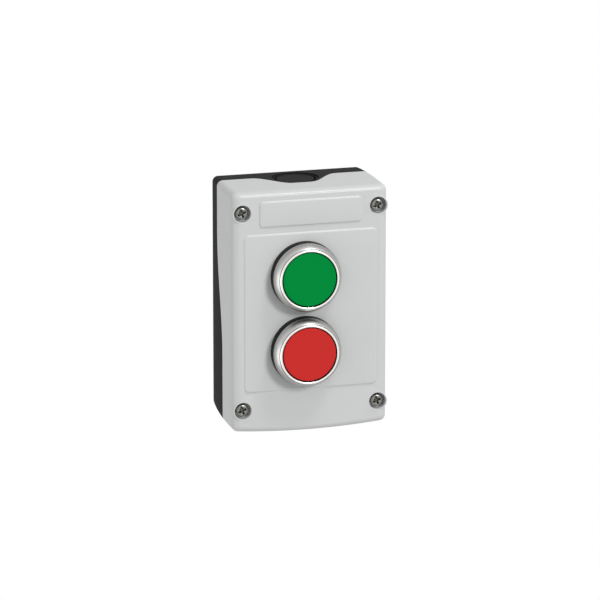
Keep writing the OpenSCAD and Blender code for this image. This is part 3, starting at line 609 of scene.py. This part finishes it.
def build_spring(head, kind, wire, turns):
    """Coil spring in its node's box: a round wire along a helix whose pitch is small in its first
    and last turn, the wire's ends a little thinner."""
    node = f"{head}_{kind}_spring"
    foot, top = span_out(node)
    low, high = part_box(node)
    coil_r = ((high[0] - low[0]) / MM - wire) / 2
    steps, sides, closed, loose, end_taper = 44, 12, 0.8, 1.05, 0.1
    rise, closed_rise = top - foot - wire, closed * wire * loose
    turn = np.linspace(0, turns, round(turns * steps) + 1)
    lift = np.interp(turn, [0, closed, turns - closed, turns],
                     [0, closed_rise, rise - closed_rise, rise])
    ahead = (2 * np.pi * turn)[:, None]
    about = np.linspace(0, 2 * np.pi, sides, endpoint=False)
    wire_r = np.where((turn > 0) & (turn < turns), wire / 2, wire / 2 - end_taper)[:, None]
    spread = coil_r + wire_r * np.cos(about)
    centre = head_centre(head)
    x, y = centre[0] + spread * np.cos(ahead), centre[1] + spread * np.sin(ahead)
    z = foot + wire / 2 + lift[:, None] + wire_r * np.sin(about)
    rings = np.stack([x, y, z], -1)
    ends = [np.broadcast_to(r.mean(0), r.shape) for r in (rings[0], rings[-1])]
    spring = mesh_piece(f"{head}_{kind}_coil", [strip([ends[0], *rings, ends[1]])])
    dress(spring, "screw_steel", [node])
    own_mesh(spring)


# Screws


def cross_dent(x, y, half_l, half_w, depth):
    """Depth of a cross recess at (x, y): two tapered slots, turned, and a bowl where they cross."""
    turn, bowl_share = math.radians(20), 0.75
    u, v = x * math.cos(turn) + y * math.sin(turn), y * math.cos(turn) - x * math.sin(turn)
    slot = np.maximum(slot_share(u, v, half_l, half_w), slot_share(v, u, half_l, half_w))
    bowl = np.clip(1 - np.hypot(x, y) / (half_l * bowl_share), 0, 1)
    return depth * np.maximum(slot, bowl)


def slot_share(u, v, half_l, half_w):
    """1 inside a slot along u, falling to 0 over its sloping sides and its tapered ends."""
    side_slope, end_slope = 0.35, 0.3
    side = np.clip((half_w - np.abs(v)) / (half_w * side_slope), 0, 1)
    end = np.clip((half_l - np.abs(u)) / (half_l * end_slope), 0, 1)
    return side * end


def build_screws():
    """Four pan-head screws: a head with a slightly crowned face, a rounded edge and a cross
    recess, on a plain shank. The recess is painted darker, as shade, where it is deeper than a set
    depth."""
    top = span_out("cover_screws")[1]
    crown_h, crown_w, crown = 0.72, 1.0, 0.08
    face_reach, painted_shade_depth, under_skin = 0.5, 0.3, 0.1
    recess = (1.75, 0.44, 1.15)
    patches, centres = [], []
    for centre, joint in at_screws():
        flat_r = SCREW_HEAD_R - crown_w
        spread = np.linspace(0, flat_r, 34)
        face = np.column_stack([spread, top - crown * (spread / flat_r) ** 2])
        turn = np.radians(np.linspace(90, 0, 10))[1:]
        edge = np.column_stack([flat_r + crown_w * np.cos(turn),
                                top - crown_h + (crown_h - crown) * np.sin(turn)])
        tip = joint - SCREW_GRIP
        under = [(SCREW_HEAD_R, top - SCREW_HEAD_H), (SCREW_R, top - SCREW_HEAD_H), (SCREW_R, tip),
                 (0, tip)]
        points, faces = revolve(np.concatenate([face, edge, under]), centre, 96)
        x, y = points[:, 0] - centre[0], points[:, 1] - centre[1]
        on_face = points[:, 2] > top - face_reach
        points[:, 2] -= np.where(on_face, cross_dent(x, y, *recess), 0)
        patches.append((points, faces))
        centres.append(centre)
    screws = mesh_piece("pan_head_screws", patches, sharp=40)
    middles = face_middles(screws.data)
    from_each = middles[:, None, :2] - np.array(centres)
    nearest = np.argmin(np.linalg.norm(from_each, axis=2), axis=1)
    x, y = from_each[np.arange(len(middles)), nearest].T
    in_head = middles[:, 2] > top - SCREW_HEAD_H + under_skin
    # Faces deep in the recess take a darker steel: painted shade.
    painted_shade_faces = (cross_dent(x, y, *recess) > painted_shade_depth) & in_head
    part_materials(screws, ("screw_steel", "recess_painted_shade"), painted_shade_faces)
    return screws


# Materials

# Places of a Mix node's sockets for colours: the two that go in and the one that comes out
COLOUR_A, COLOUR_B, COLOUR_OUT = 6, 7, 2


def add(tree, kind, **sockets):
    """A node of that kind, with each named socket set to a value or linked."""
    node = tree.nodes.new(kind)
    for name, value in sockets.items():
        put(tree, node.inputs[name.replace("_", " ")], value)
    return node


def put(tree, socket, value):
    """A value or a link into a socket."""
    if isinstance(value, bpy.types.NodeSocket):
        tree.links.new(value, socket)
    else:
        socket.default_value = value


def calculate(tree, operation, *values):
    """Result of a Math node, each of whose values is a number or a socket."""
    node = tree.nodes.new("ShaderNodeMath")
    node.operation = operation
    for socket, value in zip(node.inputs, values):
        put(tree, socket, value)
    return node.outputs[0]


def grain_group():
    """Shared group: fine moulded or worn grain. Mask is slow mottling from 0 to 1, Height a fine
    grain."""
    group = bpy.data.node_groups.new("fine_grain", "ShaderNodeTree")
    for name in ("Mottle Scale", "Grain Scale"):
        group.interface.new_socket(name, in_out="INPUT", socket_type="NodeSocketFloat")
    for name in ("Mask", "Height"):
        group.interface.new_socket(name, in_out="OUTPUT", socket_type="NodeSocketFloat")
    ends_in = group.nodes.new("NodeGroupInput")
    ends_out = group.nodes.new("NodeGroupOutput")
    place = group.nodes.new("ShaderNodeTexCoord").outputs["Object"]
    mottle = add(group, "ShaderNodeTexNoise", Vector=place, Scale=ends_in.outputs["Mottle Scale"],
                 Detail=3.0)
    grain = add(group, "ShaderNodeTexNoise", Vector=place, Scale=ends_in.outputs["Grain Scale"],
                Detail=2.0)
    group.links.new(mottle.outputs["Fac"], ends_out.inputs["Mask"])
    group.links.new(grain.outputs["Fac"], ends_out.inputs["Height"])
    return group


GRAIN = grain_group()


def finish_material(name, colour, roughness, tint=0.03, mottle=90.0, grain=3000.0, bump=0.05,
                    metallic=0.0, specular=0.5, coat=0.0, coat_roughness=0.1, coat_ior=1.5):
    """A moulded or turned finish: colour and roughness vary a little with the mottling, and the
    grain is a bump."""
    spread, relief_depth = 0.05, 0.03 * MM
    material = bpy.data.materials.new(name)
    material.use_nodes = True
    tree = material.node_tree
    shader = tree.nodes["Principled BSDF"]
    group = tree.nodes.new("ShaderNodeGroup")
    group.node_tree = GRAIN
    group.inputs["Mottle Scale"].default_value = mottle
    group.inputs["Grain Scale"].default_value = grain
    blend = tree.nodes.new("ShaderNodeMix")
    blend.data_type = "RGBA"
    tree.links.new(group.outputs["Mask"], blend.inputs["Factor"])
    blend.inputs[COLOUR_A].default_value = [c * (1 - tint) for c in colour] + [1]
    blend.inputs[COLOUR_B].default_value = [min(1, c * (1 + tint)) for c in colour] + [1]
    tree.links.new(blend.outputs[COLOUR_OUT], shader.inputs["Base Color"])
    rough = add(tree, "ShaderNodeMapRange", Value=group.outputs["Mask"], To_Min=roughness - spread,
                To_Max=roughness + spread)
    tree.links.new(rough.outputs["Result"], shader.inputs["Roughness"])
    relief = add(tree, "ShaderNodeBump", Height=group.outputs["Height"], Strength=bump,
                 Distance=relief_depth)
    tree.links.new(relief.outputs["Normal"], shader.inputs["Normal"])
    shader.inputs["Metallic"].default_value = metallic
    shader.inputs["Specular IOR Level"].default_value = specular
    shader.inputs["Coat Weight"].default_value = coat
    shader.inputs["Coat Roughness"].default_value = coat_roughness
    shader.inputs["Coat IOR"].default_value = coat_ior
    return material


def turned_metal(name, colour, roughness, lines, strength):
    """Turned metal: fine lines run round the ring, from noise on the ring's own UV map wrapped
    round a circle. They lie on the grain's bump."""
    line_depth = 0.02 * MM
    material = finish_material(name, colour, roughness, metallic=1.0, grain=2500, bump=0.02)
    tree = material.node_tree
    shader = tree.nodes["Principled BSDF"]
    place = tree.nodes.new("ShaderNodeUVMap").outputs["UV"]
    parts = add(tree, "ShaderNodeSeparateXYZ", Vector=place)
    turn = calculate(tree, "MULTIPLY", parts.outputs["X"], 2 * math.pi)
    along = calculate(tree, "MULTIPLY", parts.outputs["Y"], lines)
    spot = add(tree, "ShaderNodeCombineXYZ", X=calculate(tree, "COSINE", turn),
               Y=calculate(tree, "SINE", turn), Z=along)
    streaks = add(tree, "ShaderNodeTexNoise", Vector=spot.outputs["Vector"], Scale=1.5, Detail=4.0)
    grain = shader.inputs["Normal"].links[0].from_socket
    relief = add(tree, "ShaderNodeBump", Height=streaks.outputs["Fac"], Strength=strength,
                 Distance=line_depth, Normal=grain)
    tree.links.new(relief.outputs["Normal"], shader.inputs["Normal"])
    return material


MATERIALS = {
    "cover_plastic": finish_material("cover_plastic", (0.59, 0.60, 0.596), 0.45, tint=0.012,
                                     bump=0.04, specular=0.0, coat=0.3, coat_roughness=0.22,
                                     coat_ior=1.7),
    "base_plastic": finish_material("base_plastic", (0.017, 0.017, 0.017), 0.6, grain=1800,
                                    bump=0.25, specular=0.02),
    "black_plastic": finish_material("black_plastic", (0.007, 0.007, 0.007), 0.42, grain=2500,
                                     specular=0.08),
    "black_rubber": finish_material("black_rubber", (0.012, 0.012, 0.012), 0.75, grain=1500,
                                    bump=0.2),
    "bezel_metal": turned_metal("bezel_metal", (0.48, 0.475, 0.465), 0.37, 60.0, 0.5),
    "bezel_rim": turned_metal("bezel_rim", (0.84, 0.83, 0.8), 0.24, 40.0, 0.05),
    "screw_steel": finish_material("screw_steel", (0.24, 0.24, 0.22), 0.22, metallic=1.0,
                                   grain=2200, bump=0.15),
    # Darker steel for the deep faces of the screws' recesses: painted shade.
    "recess_painted_shade": finish_material("recess_painted_shade", (0.11, 0.11, 0.1), 0.4, metallic=1.0,
                                    grain=2200, bump=0.15),
    "green_plastic": finish_material("green_plastic", (0.0, 0.245, 0.042), 0.3, bump=0.02,
                                     specular=0.0, coat=0.05, coat_roughness=0.08),
    "red_plastic": finish_material("red_plastic", (0.575, 0.029, 0.026), 0.3, bump=0.02,
                                   specular=0.0, coat=0.08, coat_roughness=0.2),
    "white_plastic": finish_material("white_plastic", (0.72, 0.72, 0.69), 0.45),
    "grey_plastic": finish_material("grey_plastic", (0.1, 0.1, 0.11), 0.5, bump=0.12),
    "contact_copper": finish_material("contact_copper", (0.72, 0.42, 0.26), 0.3, metallic=1.0),
    "insert_brass": finish_material("insert_brass", (0.72, 0.54, 0.24), 0.32, metallic=1.0),
}


def dress(piece, slot, nodes, body="enclosure"):
    """Gives a piece the material that slot names, when it has none, puts it on its body and hides
    the CAD nodes it stands for.
    """
    if not piece.data.materials:
        piece.data.materials.append(MATERIALS[slot])
    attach(piece, body)
    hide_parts(*nodes)


def dress_frame():
    """Every CAD node takes the material that its slot in the record names."""
    for part in frame["record"]["subparts"]:
        node = frame["nodes"][part["node"]]
        node.data.materials.clear()
        node.data.materials.append(MATERIALS[part["material_slot"]])


# Studio

CAMERA_YAW, CAMERA_PITCH = math.radians(15.7), math.radians(14.8)
FOCUS_PX, IMAGE_PX, SENSOR_MM = 4500.0, 600.0, 36
PX_PER_MM = 2.572
AIM_RIGHT, AIM_UP = -4.16 * MM, 3.34 * MM
CLIP_NEAR, CLIP_FAR = 0.05, 20
# Point that every lamp is turned to
LAMP_AIM = Vector((0, -0.03, 0))

# Floor: half its side, how far below the middle it lies, and where it starts and ends to fade out
FLOOR_HALF, FLOOR_DROP = 0.5, 0.35
FADE_START, FADE_END = 0.15, 0.48


def place_camera():
    """The photograph's camera: it stands to the left and above and looks at a point near the
    front's centre."""
    level = math.cos(CAMERA_PITCH)
    forward = Vector((math.sin(CAMERA_YAW) * level, math.cos(CAMERA_YAW) * level,
                      -math.sin(CAMERA_PITCH)))
    right = Vector((math.cos(CAMERA_YAW), -math.sin(CAMERA_YAW), 0))
    up = right.cross(forward)
    target = Vector((0, -DEPTH * MM, 0)) + right * AIM_RIGHT + up * AIM_UP
    data = bpy.data.cameras.new("camera")
    data.sensor_width = SENSOR_MM
    data.lens = FOCUS_PX / IMAGE_PX * data.sensor_width
    data.clip_start, data.clip_end = CLIP_NEAR, CLIP_FAR
    camera = bpy.data.objects.new("camera", data)
    bpy.context.scene.collection.objects.link(camera)
    camera.location = target - forward * (FOCUS_PX / PX_PER_MM * MM)
    camera.rotation_mode = "QUATERNION"
    camera.rotation_quaternion = forward.to_track_quat("-Z", "Y")
    bpy.context.scene.camera = camera


def soft_box(name, place, size, power):
    """A square area lamp aimed at the object."""
    data = bpy.data.lights.new(name, "AREA")
    data.shape = "SQUARE"
    data.size = size
    data.energy = power
    lamp = bpy.data.objects.new(name, data)
    bpy.context.scene.collection.objects.link(lamp)
    lamp.location = place
    lamp.rotation_mode = "QUATERNION"
    lamp.rotation_quaternion = (LAMP_AIM - Vector(place)).to_track_quat("-Z", "Y")


def light_world(ambient):
    """World: an even grey for soft light, and plain white where the camera, a mirror or glass
    looks at it."""
    world = bpy.data.worlds.new("studio")
    bpy.context.scene.world = world
    world.use_nodes = True
    tree = world.node_tree
    background = tree.nodes["Background"]
    rays = tree.nodes.new("ShaderNodeLightPath")
    seen = rays.outputs["Is Camera Ray"]
    for name in ("Is Glossy Ray", "Is Transmission Ray"):
        seen = calculate(tree, "MAXIMUM", seen, rays.outputs[name])
    level = add(tree, "ShaderNodeMapRange", Value=seen, To_Min=ambient, To_Max=1.0)
    tree.links.new(level.outputs["Result"], background.inputs["Strength"])
    background.inputs["Color"].default_value = (1, 1, 1, 1)


def build_floor():
    """Pale floor below the object, which hangs on a wall. It takes the object's soft shadow and
    fades out with the distance from the middle, and it ends before the photograph's view would
    reach it."""
    half, z = FLOOR_HALF, -FLOOR_DROP
    mesh = bpy.data.meshes.new("floor")
    corners = [(-half, -half, z), (half, -half, z), (half, half, z), (-half, half, z)]
    mesh.from_pydata(corners, [], [(0, 1, 2, 3)])
    floor = bpy.data.objects.new("floor", mesh)
    bpy.context.scene.collection.objects.link(floor)
    pale = finish_material("pale_floor", (0.84, 0.84, 0.84), 0.7, tint=0.01, mottle=6.0,
                           grain=200.0, bump=0.02, specular=0.2)
    tree = pale.node_tree
    flat = add(tree, "ShaderNodeVectorMath")
    flat.operation = "MULTIPLY"
    put(tree, flat.inputs[0], tree.nodes.new("ShaderNodeTexCoord").outputs["Object"])
    put(tree, flat.inputs[1], (1, 1, 0))
    reach = add(tree, "ShaderNodeVectorMath")
    reach.operation = "LENGTH"
    put(tree, reach.inputs[0], flat.outputs["Vector"])
    fade = add(tree, "ShaderNodeMapRange", Value=reach.outputs["Value"], From_Min=FADE_START,
               From_Max=FADE_END, To_Min=1.0, To_Max=0.0)
    fade.interpolation_type = "SMOOTHSTEP"
    tree.links.new(fade.outputs["Result"], tree.nodes["Principled BSDF"].inputs["Alpha"])
    mesh.materials.append(pale)


bpy.context.scene.view_settings.view_transform = "Standard"
place_camera()
light_world(ambient=0.495)
soft_box("key", (0.58, -1.38, 0.66), 0.34, 11.3)
soft_box("overhead", (0.3, -0.42, 1.05), 0.28, 4.1)
soft_box("left", (-1.2, -0.2, -0.3), 1.0, 4.1)
build_floor()

dress_frame()
dress(build_cover(), "cover_plastic", ["cover_shell"])
dress(build_base(), "base_plastic", ["base_shell"])
dress(build_screws(), "screw_steel", ["cover_screws"])
for head, cap_slot in zip(HEADS, ("green_plastic", "red_plastic")):
    dress(build_cap(head), cap_slot, [head + "_cap"], head + "_button")
    dress(build_bezel(head), "bezel_metal", [head + "_bezel"])
    dress(build_collar(head), "black_plastic", [head + "_head_body"])
    for spring in SPRINGS:
        build_spring(head, *spring)
